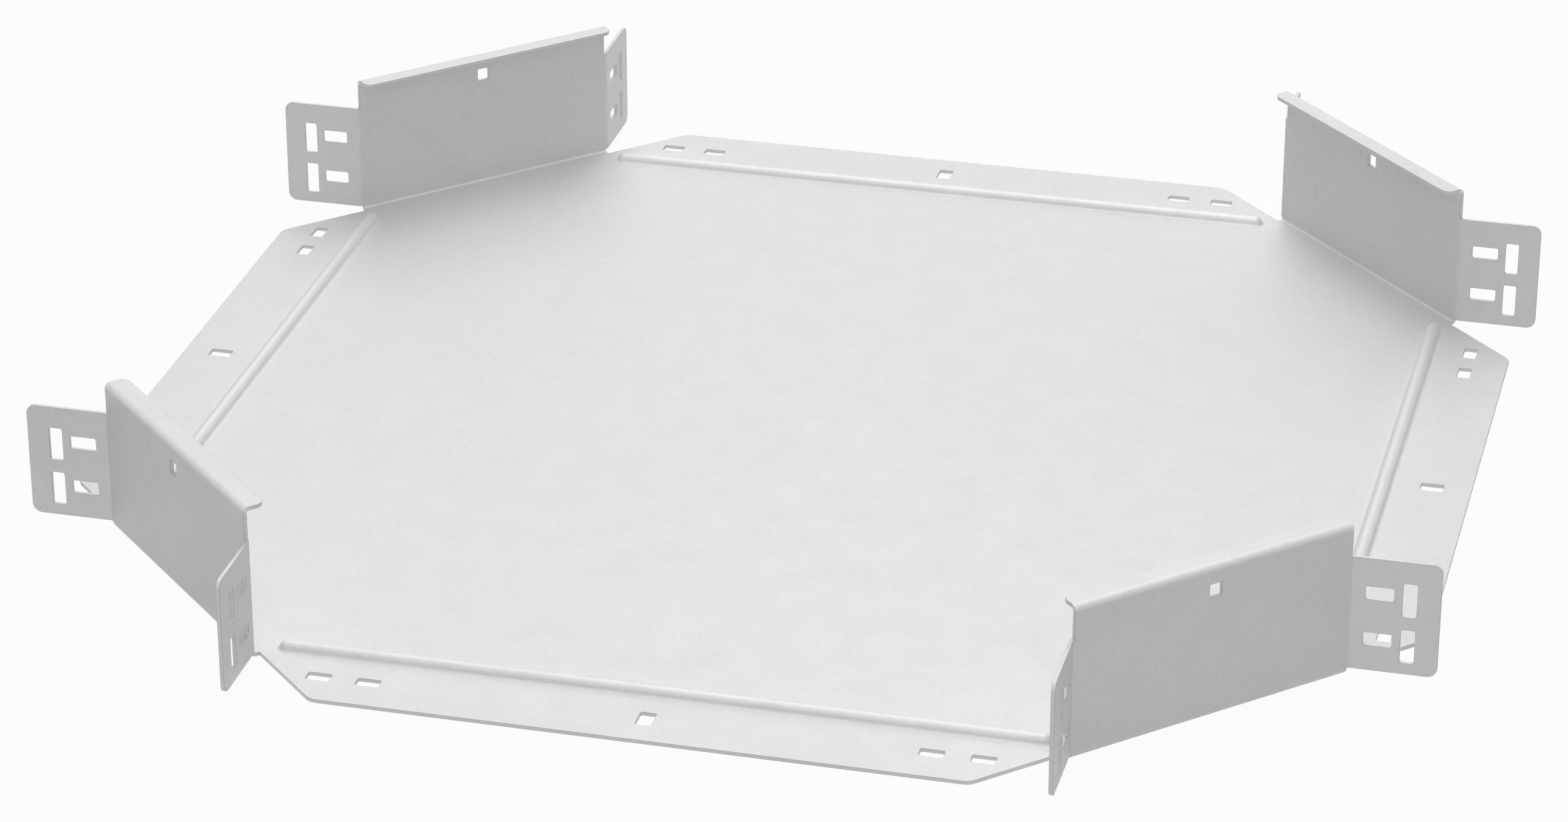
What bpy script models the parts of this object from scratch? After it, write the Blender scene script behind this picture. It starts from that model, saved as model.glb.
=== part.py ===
"""Cross piece of a slotted cable tray, folded from one sheet of galvanised steel.

Four trays meet on the flat, eight-sided base. Four of its sides end in slotted tongues that reach
under the trays, each stiffened by a bead pressed up from below. The four sides between them are
folded up into walls, which turn inwards along the top as a flange, and outwards at both ends as
slotted tabs that lie along the outside of the trays.

The eight eighths are alike, so the middle surface of the sheet is drawn for one of them, the one
between the X axis and the middle of the wall towards +X and +Y. It is mirrored three times and then
given its thickness. Sizes are in metres, +Z is up, and the origin is under the middle of the base.
"""

import math

import bmesh
import bpy
from mathutils import Matrix, Vector

MM = 0.001
SQRT2 = math.sqrt(2)
NAME = "tray_cross"

# Sheet and folds
SHEET = 2.0 * MM
FOLD_INSIDE = 1.5 * MM

# Walls, their flanges and the trays between them
TRAY_WIDTH = 401.8 * MM  # between the inner faces of the two tabs that take one tray
SIDE_HEIGHT = 80.0 * MM  # from the upper face of the base to the top of the flange
WALL_LENGTH = 160.0 * MM  # of the flat wall, between the folds of its tabs
FLANGE_WIDTH = 12.0 * MM  # from the outer face of the wall
FLANGE_CORNER = 5.0 * MM
COVER_HOLE = 7.0 * MM
COVER_HOLE_CORNER = 0.2 * MM
COVER_HOLE_BELOW_TOP = 13.4 * MM

# Slots
SLOT_WIDTH = 7.0 * MM
SLOT_PITCH = 25.0 * MM
SLOT_CORNER = 1.0 * MM

# Tabs, and their slots in two columns: lying ones by the fold and upright ones by the end
TAB_BELOW_TOP = 17.65 * MM
TAB_CORNER = 5.0 * MM
TAB_SLOT_TO_FOLD = 5.8 * MM
TAB_SLOT_GAP = 4.1 * MM
TAB_SLOT_TO_END = 11.5 * MM
LYING_LENGTH = 14.0 * MM
LYING_RISE = 18.6 * MM  # of the lowest lying slot's middle, above the base
UPRIGHT_LENGTH = 18.0 * MM
UPRIGHT_RISE = 16.6 * MM
ROW_MARGIN = 6.0 * MM  # the least sheet left above the highest slot

# Tongues and their slots
TAB_PAST_TONGUE = 9.0 * MM
TONGUE_CORNER = 8.0 * MM
EDGE_INSIDE_FOLD = 1.5 * MM  # from the fold line in to the oblique free edges beside it
TONGUE_SLOTS = 2  # in a row at each end of a tongue
TONGUE_SLOT_LENGTH = 12.0 * MM
TONGUE_SLOT_TO_END = 21.6 * MM
TONGUE_SLOT_TO_SIDE = 36.9 * MM  # from the tabs' inner faces to the outermost slot's middle
CENTRE_SLOT_WIDTH = 8.0 * MM
CENTRE_SLOT_LENGTH = 12.0 * MM
CENTRE_SLOT_TO_END = 20.3 * MM

# Beads
BEAD_WIDTH = 10.4 * MM
BEAD_HEIGHT = 4.3 * MM
BEAD_TO_END = 45.0 * MM
BEAD_TIP_TO_SIDE = 7.7 * MM

# Fineness of the mesh
FACET_SAG = 0.04 * MM  # how far a facet may lie inside its true arc
WELD = 0.001 * MM

# Heights that follow
BASE_MID = SHEET / 2
FOLD_RADIUS = FOLD_INSIDE + SHEET / 2  # of the middle surface
WALL_BOTTOM = SHEET + FOLD_INSIDE
TOP = SHEET + SIDE_HEIGHT
WALL_TOP = TOP - SHEET - FOLD_INSIDE
TAB_TOP = TOP - TAB_BELOW_TOP

# Places that follow. The wall's are counted out from the Z axis and along from the wall's middle
SIDE = TRAY_WIDTH / 2
TAB_MID = SIDE + SHEET / 2
TAB_TURN = math.radians(45)
TAB_SETBACK = FOLD_RADIUS * math.tan(TAB_TURN / 2)  # from the sharp corner to the start of the fold
WALL_HALF = WALL_LENGTH / 2
WALL_MID = WALL_HALF + TAB_SETBACK + TAB_MID * SQRT2
FOLD_LINE = WALL_MID - FOLD_RADIUS
FREE_EDGE = FOLD_LINE - EDGE_INSIDE_FOLD
FLANGE_EDGE = WALL_MID + SHEET / 2 - FLANGE_WIDTH

# Places along a tray, counted from the middle of the cross
TAB_START = WALL_MID * SQRT2 - TAB_MID + TAB_SETBACK
LYING_SLOTS = TAB_START + TAB_SLOT_TO_FOLD + LYING_LENGTH / 2
UPRIGHT_SLOTS = LYING_SLOTS + LYING_LENGTH / 2 + TAB_SLOT_GAP + SLOT_WIDTH / 2
TAB_END = UPRIGHT_SLOTS + SLOT_WIDTH / 2 + TAB_SLOT_TO_END
TONGUE_END = TAB_END - TAB_PAST_TONGUE
TONGUE_SLOT_LINE = TONGUE_END - TONGUE_SLOT_TO_END
CENTRE_SLOT = TONGUE_END - CENTRE_SLOT_TO_END
BEAD_HALF = BEAD_WIDTH / 2
BEAD_LINE = TONGUE_END - BEAD_TO_END
BEAD_TIP = SIDE - BEAD_TIP_TO_SIDE
BEAD_STRAIGHT = BEAD_TIP - BEAD_HALF

UP = Vector((0, 0, 1))
ALONG = Vector((1, -1, 0)) / SQRT2


def clear_scene():
    for obj in list(bpy.data.objects):
        bpy.data.objects.remove(obj, do_unlink=True)


def facets(radius, turn):
    """The number of facets that keeps an arc within FACET_SAG of its true round."""
    return math.ceil(turn / (2 * math.acos(1 - FACET_SAG / radius)))


def on_diagonal(along, out, up):
    """A point by the wall: along it from its middle, out from the Z axis, and up."""
    return Vector(((out + along) / SQRT2, (out - along) / SQRT2, up))


def on_base(x, y):
    return Vector((x, y, BASE_MID))


def on_wall(along, up):
    return on_diagonal(along, WALL_MID, up)


def on_flange(along, out):
    return on_diagonal(along, out, TOP - SHEET / 2)


def on_tab(reach, up):
    return Vector((reach, TAB_MID, up))


def corner(x, y, radius=0.0):
    """A corner of an outline, with the radius that it is rounded to."""
    return Vector((x, y)), radius


def rounded(corners):
    """The points of a closed outline through these corners, its round ones as arcs."""
    points = []
    for i, (here, radius) in enumerate(corners):
        if not radius:
            points.append(here)
            continue
        back = (corners[i - 1][0] - here).normalized()
        ahead = (corners[(i + 1) % len(corners)][0] - here).normalized()
        turn = math.pi - back.angle(ahead)
        reach = radius * math.tan(turn / 2)
        centre = here + (back + ahead).normalized() * math.hypot(radius, reach)
        way = math.copysign(turn, ahead.cross(back))
        steps = facets(radius, turn)
        for step in range(steps + 1):
            spoke = here + back * reach - centre
            spoke.rotate(Matrix.Rotation(way * step / steps, 2))
            points.append(centre + spoke)
    return [point for i, point in enumerate(points) if (point - points[i - 1]).length > WELD]


def slot(x, y, width, height):
    """The outline of a punched slot about its middle."""
    sides = ((-1, -1), (1, -1), (1, 1), (-1, 1))
    return [corner(x + i * width / 2, y + j * height / 2, SLOT_CORNER) for i, j in sides]


def chain(bm, points):
    """Edges from point to point."""
    verts = [bm.verts.new(point) for point in points]
    return [bm.edges.new(pair) for pair in zip(verts, verts[1:])]


def add_panel(bm, place, outline, holes=()):
    """A flat stretch of the sheet, with its holes, set in space by the function place."""
    edges = []
    for corners in (outline, *holes):
        points = [place(*point) for point in rounded(corners)]
        loop = chain(bm, points)
        loop.append(bm.edges.new((loop[-1].verts[1], loop[0].verts[0])))
        edges += loop
    bmesh.ops.triangle_fill(bm, edges=edges, use_beauty=True)


def sweep(bm, edges, pivot, axis, turn, steps):
    """A surface from a chain of edges, turned round a pivot."""
    verts = [edges[0].verts[0], *(edge.verts[1] for edge in edges)]
    bmesh.ops.spin(bm, geom=[*edges, *verts], cent=pivot, axis=axis, angle=turn, steps=steps)


def add_fold(bm, ends, pivot, axis, turn):
    """A fold of the sheet, from the straight edge between two ends, round a pivot."""
    sweep(bm, chain(bm, ends), pivot, axis, turn, facets(FOLD_RADIUS, turn))


def bead_section():
    """Half of a bead's section from foot to crest, two like arcs, as (distance from its line, height)."""
    radius = (BEAD_HALF**2 + BEAD_HEIGHT**2) / (4 * BEAD_HEIGHT)
    slope = 2 * math.atan(BEAD_HEIGHT / BEAD_HALF)
    steps = facets(radius, slope)
    angles = [slope * step / steps for step in range(steps + 1)]
    arc = [(radius * math.sin(angle), radius * (1 - math.cos(angle))) for angle in angles]
    foot = [(BEAD_HALF - off, rise) for off, rise in arc]
    crest = [(off, BEAD_HEIGHT - rise) for off, rise in arc]
    return foot[:-1] + crest[::-1]


def add_bead(bm):
    """Half of a bead: its section drawn out straight, and turned round at the tip."""
    half = bead_section()
    whole = half + [(-off, rise) for off, rise in half[-2::-1]]
    section = chain(bm, [(BEAD_LINE + off, 0, BASE_MID + rise) for off, rise in whole])
    drawn = bmesh.ops.extrude_edge_only(bm, edges=section)["geom"]
    moved = [item for item in drawn if isinstance(item, bmesh.types.BMVert)]
    bmesh.ops.translate(bm, verts=moved, vec=(0, BEAD_STRAIGHT, 0))
    tip = chain(bm, [(BEAD_LINE + off, BEAD_STRAIGHT, BASE_MID + rise) for off, rise in half])
    steps = 2 * facets(BEAD_HALF, math.pi / 2)
    sweep(bm, tip, (BEAD_LINE, BEAD_STRAIGHT, 0), UP, math.pi, steps)


def add_base(bm):
    """An eighth of the base, drawn round half of the bead and half of the centre slot."""
    inner = CENTRE_SLOT - CENTRE_SLOT_LENGTH / 2
    outer = CENTRE_SLOT + CENTRE_SLOT_LENGTH / 2
    outline = [
        corner(0, 0),
        corner(BEAD_LINE - BEAD_HALF, 0),
        corner(BEAD_LINE - BEAD_HALF, BEAD_TIP, BEAD_HALF),
        corner(BEAD_LINE + BEAD_HALF, BEAD_TIP, BEAD_HALF),
        corner(BEAD_LINE + BEAD_HALF, 0),
        corner(inner, 0),
        corner(inner, CENTRE_SLOT_WIDTH / 2, SLOT_CORNER),
        corner(outer, CENTRE_SLOT_WIDTH / 2, SLOT_CORNER),
        corner(outer, 0),
        corner(TONGUE_END, 0),
        corner(TONGUE_END, FREE_EDGE * SQRT2 - TONGUE_END, TONGUE_CORNER),
        corner(*on_diagonal(WALL_HALF, FREE_EDGE, 0).xy),
        corner(*on_diagonal(WALL_HALF, FOLD_LINE, 0).xy),
        corner(*on_diagonal(0, FOLD_LINE, 0).xy),
    ]
    first = SIDE - TONGUE_SLOT_TO_SIDE
    rows = [first - i * SLOT_PITCH for i in range(TONGUE_SLOTS)]
    slots = [slot(TONGUE_SLOT_LINE, row, SLOT_WIDTH, TONGUE_SLOT_LENGTH) for row in rows]
    add_panel(bm, on_base, outline, slots)


def add_wall(bm):
    """Half of the wall with the folds below and above it, and half of the hole for the cover's screw."""
    middle = TOP - COVER_HOLE_BELOW_TOP
    outline = [
        corner(0, WALL_BOTTOM),
        corner(WALL_HALF, WALL_BOTTOM),
        corner(WALL_HALF, TAB_TOP),
        corner(WALL_HALF, WALL_TOP),
        corner(0, WALL_TOP),
        corner(0, middle + COVER_HOLE / 2),
        corner(COVER_HOLE / 2, middle + COVER_HOLE / 2, COVER_HOLE_CORNER),
        corner(COVER_HOLE / 2, middle - COVER_HOLE / 2, COVER_HOLE_CORNER),
        corner(0, middle - COVER_HOLE / 2),
    ]
    add_panel(bm, on_wall, outline)
    foot = [on_diagonal(along, FOLD_LINE, BASE_MID) for along in (0, WALL_HALF)]
    add_fold(bm, foot, on_diagonal(0, FOLD_LINE, WALL_BOTTOM), ALONG, math.pi / 2)
    head = [on_wall(along, WALL_TOP) for along in (0, WALL_HALF)]
    add_fold(bm, head, on_diagonal(0, FOLD_LINE, WALL_TOP), ALONG, math.pi / 2)


def add_flange(bm):
    """Half of the flange that stiffens the wall's top and carries the cover."""
    outline = [
        corner(0, FOLD_LINE),
        corner(WALL_HALF, FOLD_LINE),
        corner(WALL_HALF, FLANGE_EDGE, FLANGE_CORNER),
        corner(0, FLANGE_EDGE),
    ]
    add_panel(bm, on_flange, outline)


def add_tab(bm):
    """The tab at the wall's end, with its fold and as many rows of slots as its height takes."""
    side = [on_wall(WALL_HALF, up) for up in (WALL_BOTTOM, TAB_TOP)]
    add_fold(bm, side, on_diagonal(WALL_HALF, WALL_MID + FOLD_RADIUS, 0), UP, TAB_TURN)
    outline = [
        corner(TAB_START, WALL_BOTTOM),
        corner(TAB_END, WALL_BOTTOM, TAB_CORNER),
        corner(TAB_END, TAB_TOP, TAB_CORNER),
        corner(TAB_START, TAB_TOP),
    ]
    row_top = SHEET + max(UPRIGHT_RISE + UPRIGHT_LENGTH / 2, LYING_RISE + SLOT_WIDTH / 2)
    free = TAB_TOP - ROW_MARGIN - row_top
    slots = []
    for row in range(1 + math.floor(free / SLOT_PITCH)):
        base = SHEET + row * SLOT_PITCH
        slots.append(slot(LYING_SLOTS, base + LYING_RISE, LYING_LENGTH, SLOT_WIDTH))
        slots.append(slot(UPRIGHT_SLOTS, base + UPRIGHT_RISE, SLOT_WIDTH, UPRIGHT_LENGTH))
    add_panel(bm, on_tab, outline, slots)


def on_mirror(edge):
    """Whether an edge lies in one of the two planes where the eighth meets its neighbours."""
    ends = [vert.co for vert in edge.verts]
    return all(abs(co.y) < WELD for co in ends) or all(abs(co.x - co.y) < WELD for co in ends)


def eighth_mesh():
    """The middle surface of an eighth of the sheet, with its cut edges marked sharp."""
    bm = bmesh.new()
    for add in (add_base, add_bead, add_wall, add_flange, add_tab):
        add(bm)
    bmesh.ops.remove_doubles(bm, verts=bm.verts, dist=WELD)
    bmesh.ops.recalc_face_normals(bm, faces=bm.faces)
    for edge in bm.edges:
        edge.smooth = on_mirror(edge) or not edge.is_boundary
    mesh = bpy.data.meshes.new(NAME)
    bm.to_mesh(mesh)
    bm.free()
    for polygon in mesh.polygons:
        polygon.use_smooth = True
    return mesh


def galvanised_steel():
    """Light, matt zinc."""
    material = bpy.data.materials.new("galvanised_steel")
    material.use_nodes = True
    material.diffuse_color = (0.75, 0.75, 0.76, 1)
    shader = material.node_tree.nodes["Principled BSDF"]
    shader.inputs["Base Color"].default_value = (0.75, 0.75, 0.76, 1)
    shader.inputs["Metallic"].default_value = 0.6
    shader.inputs["Roughness"].default_value = 0.5
    return material


def add_mirror(obj, name, axes, guide=None):
    mirror = obj.modifiers.new(name, "MIRROR")
    mirror.use_axis = axes
    mirror.mirror_object = guide
    mirror.merge_threshold = 2 * WELD


def build():
    collection = bpy.data.collections.new("cable_tray_cross")
    bpy.context.scene.collection.children.link(collection)
    diagonal = bpy.data.objects.new("wall_diagonal", None)
    diagonal.rotation_euler.z = math.radians(45)
    collection.objects.link(diagonal)
    cross = bpy.data.objects.new(NAME, eighth_mesh())
    cross.data.materials.append(galvanised_steel())
    collection.objects.link(cross)
    add_mirror(cross, "across the wall", (False, True, False), diagonal)
    add_mirror(cross, "across the trays", (True, True, False))
    solidify = cross.modifiers.new("sheet", "SOLIDIFY")
    solidify.thickness = SHEET
    solidify.offset = 0
    solidify.use_even_offset = True
    normals = cross.modifiers.new("flat panels", "WEIGHTED_NORMAL")
    normals.keep_sharp = True


clear_scene()
build()
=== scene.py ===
"""Looks, camera and light of the cable tray cross.

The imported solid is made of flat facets, so the sheet is drawn again here from the same dimensions,
with finer arcs, rounded arrises and smooth shading. The middle surface of an eighth of it, between
the X axis and the middle of the wall towards +X and +Y, is mirrored three times and thickened.
"""

import math

import bmesh
import bpy
from mathutils import Matrix, Vector


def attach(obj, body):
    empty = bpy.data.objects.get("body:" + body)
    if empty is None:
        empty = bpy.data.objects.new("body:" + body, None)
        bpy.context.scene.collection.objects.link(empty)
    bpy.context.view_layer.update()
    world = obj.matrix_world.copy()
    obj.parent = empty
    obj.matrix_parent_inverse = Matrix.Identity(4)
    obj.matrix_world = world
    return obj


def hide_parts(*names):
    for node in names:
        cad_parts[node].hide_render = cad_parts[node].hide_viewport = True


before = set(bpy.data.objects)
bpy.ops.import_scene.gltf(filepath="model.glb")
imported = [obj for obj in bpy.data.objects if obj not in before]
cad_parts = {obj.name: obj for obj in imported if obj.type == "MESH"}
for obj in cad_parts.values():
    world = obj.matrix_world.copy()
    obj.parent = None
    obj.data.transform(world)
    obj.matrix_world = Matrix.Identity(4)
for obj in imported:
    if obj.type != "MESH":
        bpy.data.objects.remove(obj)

MM = 0.001
SQRT2 = math.sqrt(2)
BODY = "root"
NODE = "tray_cross"
PIECE = "tray_cross_sheet"
PAINTED_HIGHLIGHT = "painted_highlight"  # painted highlight: how much brighter folds and beads are painted, from 0 to 1

# Sheet and folds
SHEET = 2.0 * MM
FOLD_INSIDE = 1.5 * MM
ARRIS = 0.15 * MM  # rounding of the cut edges

# Walls, their flanges and the trays between them
TRAY_WIDTH = 401.8 * MM  # between the inner faces of the two tabs that take one tray
SIDE_HEIGHT = 80.0 * MM  # from the upper face of the base to the top of the flange
WALL_LENGTH = 160.0 * MM  # of the flat wall, between the folds of its tabs
FLANGE_WIDTH = 12.0 * MM  # from the outer face of the wall
FLANGE_CORNER = 5.0 * MM
COVER_HOLE = 7.0 * MM
COVER_HOLE_CORNER = 0.2 * MM
COVER_HOLE_BELOW_TOP = 13.4 * MM

# Slots
SLOT_WIDTH = 7.0 * MM
SLOT_PITCH = 25.0 * MM
SLOT_CORNER = 1.0 * MM

# Tabs, and their slots in two columns: lying ones by the fold and upright ones by the end
TAB_BELOW_TOP = 17.65 * MM
TAB_CORNER = 5.0 * MM
TAB_SLOT_TO_FOLD = 5.8 * MM
TAB_SLOT_GAP = 4.1 * MM
TAB_SLOT_TO_END = 11.5 * MM
LYING_LENGTH = 14.0 * MM
LYING_RISE = 18.6 * MM  # of the lowest lying slot's middle, above the base
UPRIGHT_LENGTH = 18.0 * MM
UPRIGHT_RISE = 16.6 * MM
TAB_ROWS = 2

# Tongues and their slots
TAB_PAST_TONGUE = 9.0 * MM
TONGUE_CORNER = 8.0 * MM
EDGE_INSIDE_FOLD = 1.5 * MM  # from the fold line in to the oblique free edges beside it
TONGUE_SLOTS = 2  # in a row at each end of a tongue
TONGUE_SLOT_LENGTH = 12.0 * MM
TONGUE_SLOT_TO_END = 21.6 * MM
TONGUE_SLOT_TO_SIDE = 36.9 * MM  # from the tabs' inner faces to the outermost slot's middle
CENTRE_SLOT_WIDTH = 8.0 * MM
CENTRE_SLOT_LENGTH = 12.0 * MM
CENTRE_SLOT_TO_END = 20.3 * MM

# Beads
BEAD_WIDTH = 10.4 * MM
BEAD_HEIGHT = 4.3 * MM
BEAD_TO_END = 45.0 * MM
BEAD_TIP_TO_SIDE = 7.7 * MM

# Fineness of the mesh
FACET_SAG = 0.01 * MM  # how far a facet may lie inside its true arc
WELD = 0.001 * MM
MIRROR_WELD = 2 * WELD
ARRIS_TURN = math.radians(60)  # an edge that turns by more than this is an arris
ARRIS_STEPS = 2

# Heights that follow
BASE_MID = SHEET / 2
FOLD_RADIUS = FOLD_INSIDE + SHEET / 2  # of the middle surface
WALL_BOTTOM = SHEET + FOLD_INSIDE
TOP = SHEET + SIDE_HEIGHT
WALL_TOP = TOP - SHEET - FOLD_INSIDE
TAB_TOP = TOP - TAB_BELOW_TOP

# Places that follow. The wall's are counted out from the Z axis and along from the wall's middle
SIDE = TRAY_WIDTH / 2
TAB_MID = SIDE + SHEET / 2
DIAGONAL = math.radians(45)  # from the X axis to the way that the wall faces
WALL_TURN = math.radians(90)  # of the folds at the wall's foot and top
TAB_TURN = math.radians(45)
TAB_SETBACK = FOLD_RADIUS * math.tan(TAB_TURN / 2)  # from the sharp corner to the fold's start
WALL_HALF = WALL_LENGTH / 2
WALL_MID = WALL_HALF + TAB_SETBACK + TAB_MID * SQRT2
FOLD_LINE = WALL_MID - FOLD_RADIUS
FREE_EDGE = FOLD_LINE - EDGE_INSIDE_FOLD
FLANGE_EDGE = WALL_MID + SHEET / 2 - FLANGE_WIDTH

# Places along a tray, counted from the middle of the cross
TAB_START = WALL_MID * SQRT2 - TAB_MID + TAB_SETBACK
LYING_SLOTS = TAB_START + TAB_SLOT_TO_FOLD + LYING_LENGTH / 2
UPRIGHT_SLOTS = LYING_SLOTS + LYING_LENGTH / 2 + TAB_SLOT_GAP + SLOT_WIDTH / 2
TAB_END = UPRIGHT_SLOTS + SLOT_WIDTH / 2 + TAB_SLOT_TO_END
TONGUE_END = TAB_END - TAB_PAST_TONGUE
TONGUE_SLOT_LINE = TONGUE_END - TONGUE_SLOT_TO_END
CENTRE_SLOT = TONGUE_END - CENTRE_SLOT_TO_END
BEAD_HALF = BEAD_WIDTH / 2
BEAD_LINE = TONGUE_END - BEAD_TO_END
BEAD_TIP = SIDE - BEAD_TIP_TO_SIDE
BEAD_STRAIGHT = BEAD_TIP - BEAD_HALF

UP = Vector((0, 0, 1))
ALONG = Vector((1, -1, 0)) / SQRT2

# Camera
CAMERA_AZIMUTH = math.radians(-76.004)  # counter-clockwise from +X
CAMERA_ELEVATION = math.radians(26.361)
CAMERA_ROLL = math.radians(0.020)
CAMERA_DISTANCE = 2776.8 * MM
CAMERA_TARGET = Vector((-15.95, 5.10, 2.0)) * MM
SENSOR_WIDTH = 36.0  # in mm, as is the lens
LENS = 119.79

# Light. A level of 1 makes a surface that faces the lamp render as its colour is written
LAMPS = (
    # name, azimuth and elevation in degrees, level
    ("overhead_lamp", 0, 90, 0.17),
    ("front_lamp", -76, 44, 0.17),
    ("front_left_lamp", -121, 44, 0.02),
    ("rear_high_lamp", 104, 68, 0.225),
    ("rear_lamp", 104, 44, 0.11),
    ("rear_low_lamp", 59, 18, 0.06),
)
LAMP_DISTANCE = 3.0
LAMP_SIDE = 1.6
AMBIENT = 0.01
WHITE = (1, 1, 1, 1)

# Zinc. Clouds change its grey and roughness, and the fine grain changes its grey and height
METALLIC = 0.4
GREY = (0.745, 0.775)
ROUGHNESS = (0.65, 0.55)
CLOUD_SCALE = 45.0
CLOUD_DETAIL = 3.0
GRAIN_SCALE = 400.0
GRAIN_DETAIL = 2.0
GRAIN_GREY = 0.04
GRAIN_DEPTH = 0.15 * MM
ARRIS_GREY = (0.43, 0.47)  # darker arrises: partly bare steel where the shears and the punch cut, partly painted shade
# Painted highlight: the most that folds and beads are painted brighter, and the share at each fold
# and bead
HIGHLIGHT_BRIGHTER = 0.16
FLANGE_FOLD_HIGHLIGHT = 1.0
FOOT_FOLD_HIGHLIGHT = 0.2
TAB_FOLD_HIGHLIGHT = 0.0
BEAD_HIGHLIGHT = 0.35

# Floor
FLOOR_SIDE = 40.0
FLOOR_DROP = 0.2 * MM
FLOOR_COLOUR = (0.95, 0.95, 0.95, 1)
FLOOR_GLOW = 0.94  # share of the floor's look that is plain white and takes no shadow


def facets(radius, turn):
    """The number of facets that keeps an arc within FACET_SAG of its true round."""
    return math.ceil(turn / (2 * math.acos(1 - FACET_SAG / radius)))


def on_diagonal(along, out, up):
    """A point by the wall: along it from its middle, out from the Z axis, and up."""
    return Vector(((out + along) / SQRT2, (out - along) / SQRT2, up))


def on_base(x, y):
    return Vector((x, y, BASE_MID))


def on_wall(along, up):
    return on_diagonal(along, WALL_MID, up)


def on_flange(along, out):
    return on_diagonal(along, out, TOP - SHEET / 2)


def on_tab(reach, up):
    return Vector((reach, TAB_MID, up))


def corner(x, y, radius=0.0):
    """A corner of an outline, with the radius that it is rounded to."""
    return Vector((x, y)), radius


def rounded(corners):
    """The points of a closed outline through these corners, its round ones as arcs."""
    points = []
    for i, (here, radius) in enumerate(corners):
        if not radius:
            points.append(here)
            continue
        back = (corners[i - 1][0] - here).normalized()
        ahead = (corners[(i + 1) % len(corners)][0] - here).normalized()
        turn = math.pi - back.angle(ahead)
        reach = radius * math.tan(turn / 2)
        centre = here + (back + ahead).normalized() * math.hypot(radius, reach)
        way = math.copysign(turn, ahead.cross(back))
        steps = facets(radius, turn)
        for step in range(steps + 1):
            spoke = here + back * reach - centre
            spoke.rotate(Matrix.Rotation(way * step / steps, 2))
            points.append(centre + spoke)
    return [point for i, point in enumerate(points) if (point - points[i - 1]).length > WELD]


def slot(x, y, width, height):
    """The outline of a punched slot about its middle."""
    sides = ((-1, -1), (1, -1), (1, 1), (-1, 1))
    return [corner(x + i * width / 2, y + j * height / 2, SLOT_CORNER) for i, j in sides]


def chain(bm, points):
    """Edges from point to point."""
    verts = [bm.verts.new(point) for point in points]
    return [bm.edges.new(pair) for pair in zip(verts, verts[1:])]


def add_panel(bm, place, outline, holes=()):
    """A flat stretch of the sheet, with its holes, set in space by the function place."""
    edges = []
    for corners in (outline, *holes):
        points = [place(*point) for point in rounded(corners)]
        loop = chain(bm, points)
        loop.append(bm.edges.new((loop[-1].verts[1], loop[0].verts[0])))
        edges += loop
    bmesh.ops.triangle_fill(bm, edges=edges, use_beauty=True)


def sweep(bm, edges, pivot, axis, turn, steps):
    """A surface from a chain of edges, turned round a pivot."""
    verts = [edges[0].verts[0], *(edge.verts[1] for edge in edges)]
    bmesh.ops.spin(bm, geom=[*edges, *verts], cent=pivot, axis=axis, angle=turn, steps=steps)


def add_fold(bm, ends, pivot, axis, turn, painted_highlight):
    """A fold round a pivot, from a straight edge between two ends, with a painted highlight
    mid-fold.
    """
    layer = bm.verts.layers.float[PAINTED_HIGHLIGHT]
    start = Vector(ends[0])
    before = set(bm.verts)
    sweep(bm, chain(bm, ends), pivot, axis, turn, facets(FOLD_RADIUS, turn))
    spoke = start - Vector(pivot)
    spoke -= axis * spoke.dot(axis)
    for vert in set(bm.verts) - before:
        here = vert.co - Vector(pivot)
        here -= axis * here.dot(axis)
        # painted highlight, strongest in the middle of the fold
        vert[layer] = painted_highlight * math.sin(math.pi * min(spoke.angle(here) / turn, 1))


def bead_section():
    """Half of a bead's section, two like arcs from foot to crest, as (off its line, height)."""
    radius = (BEAD_HALF**2 + BEAD_HEIGHT**2) / (4 * BEAD_HEIGHT)
    slope = 2 * math.atan(BEAD_HEIGHT / BEAD_HALF)
    steps = facets(radius, slope)
    angles = [slope * step / steps for step in range(steps + 1)]
    arc = [(radius * math.sin(angle), radius * (1 - math.cos(angle))) for angle in angles]
    foot = [(BEAD_HALF - off, rise) for off, rise in arc]
    crest = [(off, BEAD_HEIGHT - rise) for off, rise in arc]
    return foot[:-1] + crest[::-1]


def add_bead(bm):
    """Half of a bead: its section drawn out straight, and turned round at the tip."""
    half = bead_section()
    whole = half + [(-off, rise) for off, rise in half[-2::-1]]
    layer = bm.verts.layers.float[PAINTED_HIGHLIGHT]
    before = set(bm.verts)
    section = chain(bm, [(BEAD_LINE + off, 0, BASE_MID + rise) for off, rise in whole])
    drawn = bmesh.ops.extrude_edge_only(bm, edges=section)["geom"]
    moved = [item for item in drawn if isinstance(item, bmesh.types.BMVert)]
    bmesh.ops.translate(bm, verts=moved, vec=(0, BEAD_STRAIGHT, 0))
    tip = chain(bm, [(BEAD_LINE + off, BEAD_STRAIGHT, BASE_MID + rise) for off, rise in half])
    steps = 2 * facets(BEAD_HALF, math.pi / 2)
    sweep(bm, tip, (BEAD_LINE, BEAD_STRAIGHT, 0), UP, math.pi, steps)
    # The bead is painted brighter towards its crest, a painted highlight
    for vert in set(bm.verts) - before:
        vert[layer] = BEAD_HIGHLIGHT * min(1, 2 * (vert.co.z - BASE_MID) / BEAD_HEIGHT)


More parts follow.
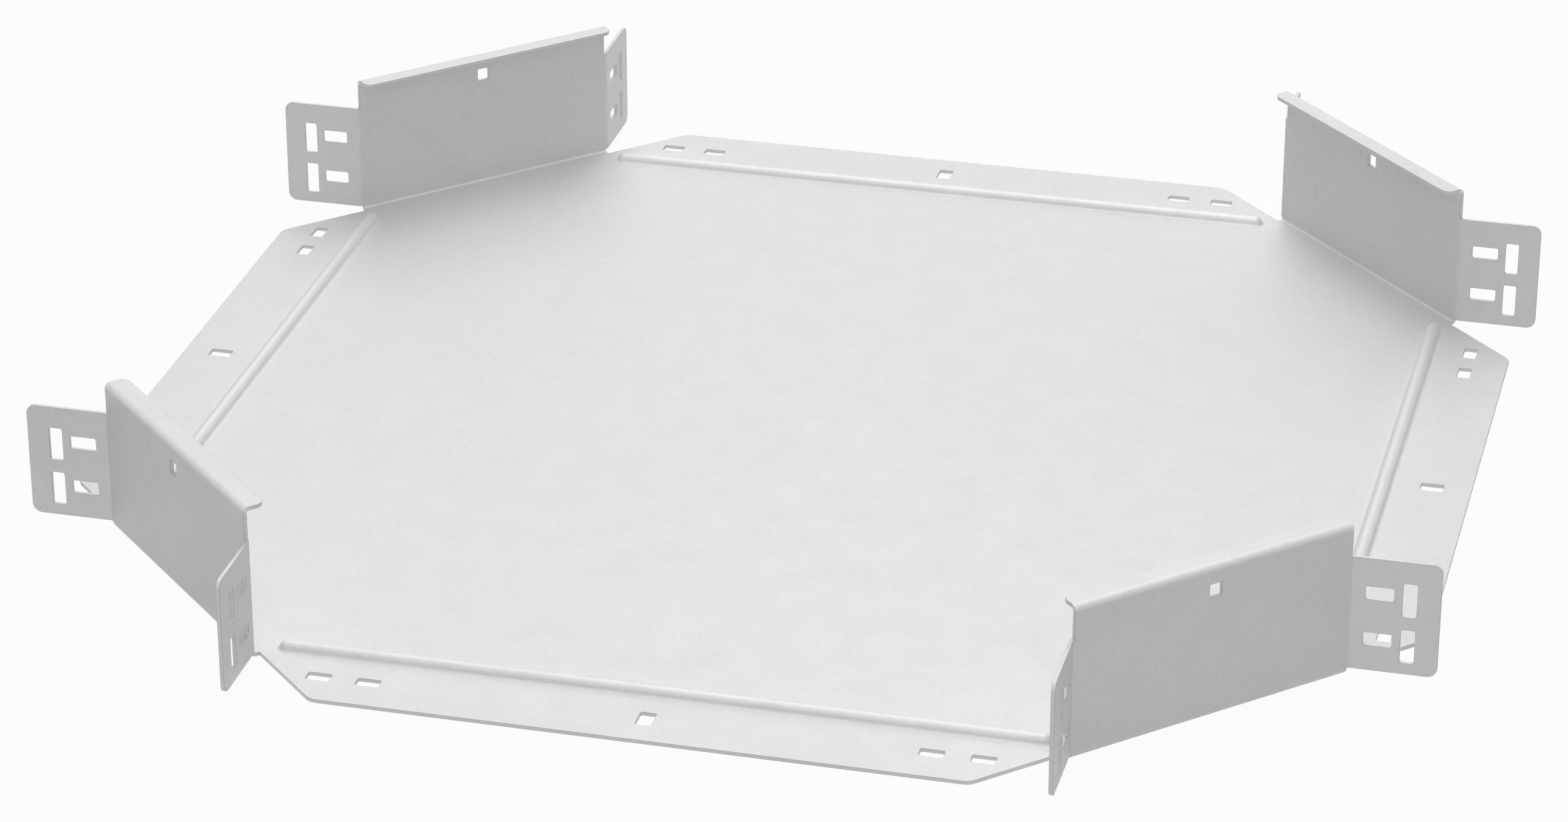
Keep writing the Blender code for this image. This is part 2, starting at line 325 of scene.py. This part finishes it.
def add_base(bm):
    """An eighth of the base, drawn round half of the bead and half of the centre slot."""
    inner = CENTRE_SLOT - CENTRE_SLOT_LENGTH / 2
    outer = CENTRE_SLOT + CENTRE_SLOT_LENGTH / 2
    outline = [
        corner(0, 0),
        corner(BEAD_LINE - BEAD_HALF, 0),
        corner(BEAD_LINE - BEAD_HALF, BEAD_TIP, BEAD_HALF),
        corner(BEAD_LINE + BEAD_HALF, BEAD_TIP, BEAD_HALF),
        corner(BEAD_LINE + BEAD_HALF, 0),
        corner(inner, 0),
        corner(inner, CENTRE_SLOT_WIDTH / 2, SLOT_CORNER),
        corner(outer, CENTRE_SLOT_WIDTH / 2, SLOT_CORNER),
        corner(outer, 0),
        corner(TONGUE_END, 0),
        corner(TONGUE_END, FREE_EDGE * SQRT2 - TONGUE_END, TONGUE_CORNER),
        corner(*on_diagonal(WALL_HALF, FREE_EDGE, 0).xy),
        corner(*on_diagonal(WALL_HALF, FOLD_LINE, 0).xy),
        corner(*on_diagonal(0, FOLD_LINE, 0).xy),
    ]
    first = SIDE - TONGUE_SLOT_TO_SIDE
    rows = [first - i * SLOT_PITCH for i in range(TONGUE_SLOTS)]
    slots = [slot(TONGUE_SLOT_LINE, row, SLOT_WIDTH, TONGUE_SLOT_LENGTH) for row in rows]
    add_panel(bm, on_base, outline, slots)


def add_wall(bm):
    """Half of the wall, with the folds below and above it and half of the cover's screw hole."""
    middle = TOP - COVER_HOLE_BELOW_TOP
    outline = [
        corner(0, WALL_BOTTOM),
        corner(WALL_HALF, WALL_BOTTOM),
        corner(WALL_HALF, TAB_TOP),
        corner(WALL_HALF, WALL_TOP),
        corner(0, WALL_TOP),
        corner(0, middle + COVER_HOLE / 2),
        corner(COVER_HOLE / 2, middle + COVER_HOLE / 2, COVER_HOLE_CORNER),
        corner(COVER_HOLE / 2, middle - COVER_HOLE / 2, COVER_HOLE_CORNER),
        corner(0, middle - COVER_HOLE / 2),
    ]
    add_panel(bm, on_wall, outline)
    foot = [on_diagonal(along, FOLD_LINE, BASE_MID) for along in (0, WALL_HALF)]
    foot_pivot = on_diagonal(0, FOLD_LINE, WALL_BOTTOM)
    add_fold(bm, foot, foot_pivot, ALONG, WALL_TURN, FOOT_FOLD_HIGHLIGHT)
    head = [on_wall(along, WALL_TOP) for along in (0, WALL_HALF)]
    head_pivot = on_diagonal(0, FOLD_LINE, WALL_TOP)
    add_fold(bm, head, head_pivot, ALONG, WALL_TURN, FLANGE_FOLD_HIGHLIGHT)


def add_flange(bm):
    """Half of the flange that stiffens the wall's top and carries the cover."""
    outline = [
        corner(0, FOLD_LINE),
        corner(WALL_HALF, FOLD_LINE),
        corner(WALL_HALF, FLANGE_EDGE, FLANGE_CORNER),
        corner(0, FLANGE_EDGE),
    ]
    add_panel(bm, on_flange, outline)


def add_tab(bm):
    """The tab at the wall's end, with its fold and its rows of slots."""
    side = [on_wall(WALL_HALF, up) for up in (WALL_BOTTOM, TAB_TOP)]
    pivot = on_diagonal(WALL_HALF, WALL_MID + FOLD_RADIUS, 0)
    add_fold(bm, side, pivot, UP, TAB_TURN, TAB_FOLD_HIGHLIGHT)
    outline = [
        corner(TAB_START, WALL_BOTTOM),
        corner(TAB_END, WALL_BOTTOM, TAB_CORNER),
        corner(TAB_END, TAB_TOP, TAB_CORNER),
        corner(TAB_START, TAB_TOP),
    ]
    slots = []
    for row in range(TAB_ROWS):
        base = SHEET + row * SLOT_PITCH
        slots.append(slot(LYING_SLOTS, base + LYING_RISE, LYING_LENGTH, SLOT_WIDTH))
        slots.append(slot(UPRIGHT_SLOTS, base + UPRIGHT_RISE, SLOT_WIDTH, UPRIGHT_LENGTH))
    add_panel(bm, on_tab, outline, slots)


def eighth_mesh():
    """The middle surface of an eighth of the sheet."""
    bm = bmesh.new()
    bm.verts.layers.float.new(PAINTED_HIGHLIGHT)
    for add in (add_base, add_bead, add_wall, add_flange, add_tab):
        add(bm)
    bmesh.ops.remove_doubles(bm, verts=bm.verts, dist=WELD)
    bmesh.ops.recalc_face_normals(bm, faces=bm.faces)
    mesh = bpy.data.meshes.new(PIECE)
    bm.to_mesh(mesh)
    bm.free()
    for polygon in mesh.polygons:
        polygon.use_smooth = True
    return mesh


def add_object(name, data):
    """A new object in the scene."""
    obj = bpy.data.objects.new(name, data)
    bpy.context.scene.collection.objects.link(obj)
    return obj


def add_mirror(obj, name, axes, guide=None):
    mirror = obj.modifiers.new(name, "MIRROR")
    mirror.use_axis = axes
    mirror.mirror_object = guide
    mirror.merge_threshold = MIRROR_WELD


def folded_sheet(face, arris):
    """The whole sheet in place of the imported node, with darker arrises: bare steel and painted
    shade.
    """
    diagonal = add_object("wall_diagonal", None)
    diagonal.rotation_euler.z = DIAGONAL
    sheet = add_object(PIECE, eighth_mesh())
    for material in (face, arris):
        sheet.data.materials.append(material)
    add_mirror(sheet, "across the wall", (False, True, False), diagonal)
    add_mirror(sheet, "across the trays", (True, True, False))
    solidify = sheet.modifiers.new("sheet", "SOLIDIFY")
    solidify.thickness = SHEET
    solidify.offset = 0
    solidify.use_even_offset = True
    arrises = sheet.modifiers.new("arrises", "BEVEL")
    arrises.width = ARRIS
    arrises.segments = ARRIS_STEPS
    arrises.limit_method = "ANGLE"
    arrises.angle_limit = ARRIS_TURN
    arrises.use_clamp_overlap = False
    arrises.loop_slide = False
    arrises.material = sheet.data.materials.find(arris.name)
    normals = sheet.modifiers.new("flat panels", "WEIGHTED_NORMAL")
    normals.keep_sharp = False
    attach(sheet, BODY)
    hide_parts(NODE)


def add_node(tree, kind, **values):
    """A shader node with its unlinked inputs set, by their names with _ for a space."""
    node = tree.nodes.new(kind)
    for name, value in values.items():
        node.inputs[name.replace("_", " ")].default_value = value
    return node


def spread(tree, source, low, high):
    """A value from 0 to 1 spread over another range."""
    node = add_node(tree, "ShaderNodeMapRange", To_Min=low, To_Max=high)
    tree.links.new(source, node.inputs["Value"])
    return node.outputs["Result"]


def computed(tree, operation, *terms):
    """The result of a sum or the like, of other nodes' outputs and plain numbers."""
    node = tree.nodes.new("ShaderNodeMath")
    node.operation = operation
    for socket, term in zip(node.inputs, terms):
        if isinstance(term, bpy.types.NodeSocket):
            tree.links.new(term, socket)
        else:
            socket.default_value = term
    return node.outputs[0]


def sheet_steel(name, darkest, lightest):
    """Matt steel with fine grain, faint clouds, and a painted highlight on folds and beads."""
    material = bpy.data.materials.new(name)
    material.use_nodes = True
    tree = material.node_tree
    shader = tree.nodes["Principled BSDF"]
    shader.inputs["Metallic"].default_value = METALLIC
    place = tree.nodes.new("ShaderNodeTexCoord").outputs["Object"]
    noises = [
        add_node(tree, "ShaderNodeTexNoise", Scale=GRAIN_SCALE, Detail=GRAIN_DETAIL),
        add_node(tree, "ShaderNodeTexNoise", Scale=CLOUD_SCALE, Detail=CLOUD_DETAIL),
    ]
    for noise in noises:
        tree.links.new(place, noise.inputs["Vector"])
    grain, cloud = [noise.outputs["Fac"] for noise in noises]
    bump = add_node(tree, "ShaderNodeBump", Distance=GRAIN_DEPTH)
    tree.links.new(grain, bump.inputs["Height"])
    tree.links.new(bump.outputs["Normal"], shader.inputs["Normal"])
    tree.links.new(spread(tree, cloud, *ROUGHNESS), shader.inputs["Roughness"])
    # Painted highlight: folds and beads are painted brighter by the share in their attribute
    painted_highlight = tree.nodes.new("ShaderNodeAttribute")
    painted_highlight.attribute_name = PAINTED_HIGHLIGHT
    clouded = spread(tree, cloud, darkest, lightest)
    mottled = computed(tree, "ADD", clouded, spread(tree, grain, -GRAIN_GREY, GRAIN_GREY))
    grey = computed(tree, "MULTIPLY_ADD", painted_highlight.outputs["Fac"], HIGHLIGHT_BRIGHTER, mottled)
    tree.links.new(grey, shader.inputs["Base Color"])
    return material


def seen_directly(tree):
    """1 where the camera sees it, also in gloss or through glass, and 0 for light that it sheds."""
    path = tree.nodes.new("ShaderNodeLightPath")
    seen = path.outputs["Is Camera Ray"]
    for kind in ("Is Glossy Ray", "Is Transmission Ray"):
        seen = computed(tree, "MAXIMUM", seen, path.outputs[kind])
    return seen


def mixed(tree, share, first, second):
    """Two shaders mixed, with this share of the second."""
    mix = tree.nodes.new("ShaderNodeMixShader")
    tree.links.new(share, mix.inputs["Fac"])
    for shader, socket in zip((first, second), mix.inputs[1:]):
        tree.links.new(shader.outputs[0], socket)
    return mix.outputs["Shader"]


def pale_matt():
    """Pale and matt, and white to the camera but for a trace of the object's shadow."""
    material = bpy.data.materials.new("white_floor")
    material.use_nodes = True
    tree = material.node_tree
    tree.nodes.remove(tree.nodes["Principled BSDF"])
    matt = add_node(tree, "ShaderNodeBsdfDiffuse", Color=FLOOR_COLOUR)
    glow = add_node(tree, "ShaderNodeEmission", Color=WHITE)
    share = computed(tree, "MULTIPLY", seen_directly(tree), FLOOR_GLOW)
    surface = mixed(tree, share, matt, glow)
    tree.links.new(surface, tree.nodes["Material Output"].inputs["Surface"])
    return material


def white_floor():
    """A wide floor just below the base."""
    half = FLOOR_SIDE / 2
    corners = [(-half, -half, 0), (half, -half, 0), (half, half, 0), (-half, half, 0)]
    mesh = bpy.data.meshes.new("floor")
    mesh.from_pydata(corners, [], [(0, 1, 2, 3)])
    mesh.materials.append(pale_matt())
    floor = add_object("floor", mesh)
    floor.location.z = -FLOOR_DROP


def white_world():
    """White to the camera, and a plain grey light on everything else."""
    world = bpy.data.worlds.new("studio")
    world.use_nodes = True
    tree = world.node_tree
    grey = tree.nodes["Background"]
    grey.inputs["Color"].default_value = WHITE
    grey.inputs["Strength"].default_value = AMBIENT
    white = add_node(tree, "ShaderNodeBackground", Color=WHITE)
    surface = mixed(tree, seen_directly(tree), grey, white)
    tree.links.new(surface, tree.nodes["World Output"].inputs["Surface"])
    bpy.context.scene.world = world


def direction(azimuth, elevation):
    flat = math.cos(elevation)
    return Vector((flat * math.cos(azimuth), flat * math.sin(azimuth), math.sin(elevation)))


def soft_lamp(name, azimuth, elevation, level):
    """A square lamp aimed at the middle of the cross, with the power that gives its level there."""
    lamp = bpy.data.lights.new(name, "AREA")
    lamp.size = LAMP_SIDE
    lamp.energy = level * (math.pi * LAMP_DISTANCE) ** 2
    holder = add_object(name, lamp)
    away = direction(math.radians(azimuth), math.radians(elevation))
    holder.location = away * LAMP_DISTANCE
    holder.rotation_mode = "QUATERNION"
    holder.rotation_quaternion = away.to_track_quat("Z", "Y")


def camera():
    back = direction(CAMERA_AZIMUTH, CAMERA_ELEVATION)
    right = Vector((-math.sin(CAMERA_AZIMUTH), math.cos(CAMERA_AZIMUTH), 0))
    up = back.cross(right)
    rolled = right * math.cos(CAMERA_ROLL) + up * math.sin(CAMERA_ROLL)
    lens = bpy.data.cameras.new("camera")
    lens.sensor_width = SENSOR_WIDTH
    lens.lens = LENS
    holder = add_object("camera", lens)
    turned = Matrix((rolled, back.cross(rolled), back)).transposed().to_4x4()
    place = Matrix.Translation(CAMERA_TARGET + back * CAMERA_DISTANCE)
    holder.matrix_world = place @ turned
    bpy.context.scene.camera = holder


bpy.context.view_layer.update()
bpy.context.scene.view_settings.view_transform = "Standard"
zinc = sheet_steel("galvanised_steel_matt", *GREY)
# The arrises are darker: partly bare steel at the cut edges, partly painted shade along them
bare_steel_and_shade = sheet_steel("bare_steel_and_painted_shade_arris", *ARRIS_GREY)
folded_sheet(zinc, bare_steel_and_shade)
white_floor()
white_world()
for row in LAMPS:
    soft_lamp(*row)
camera()
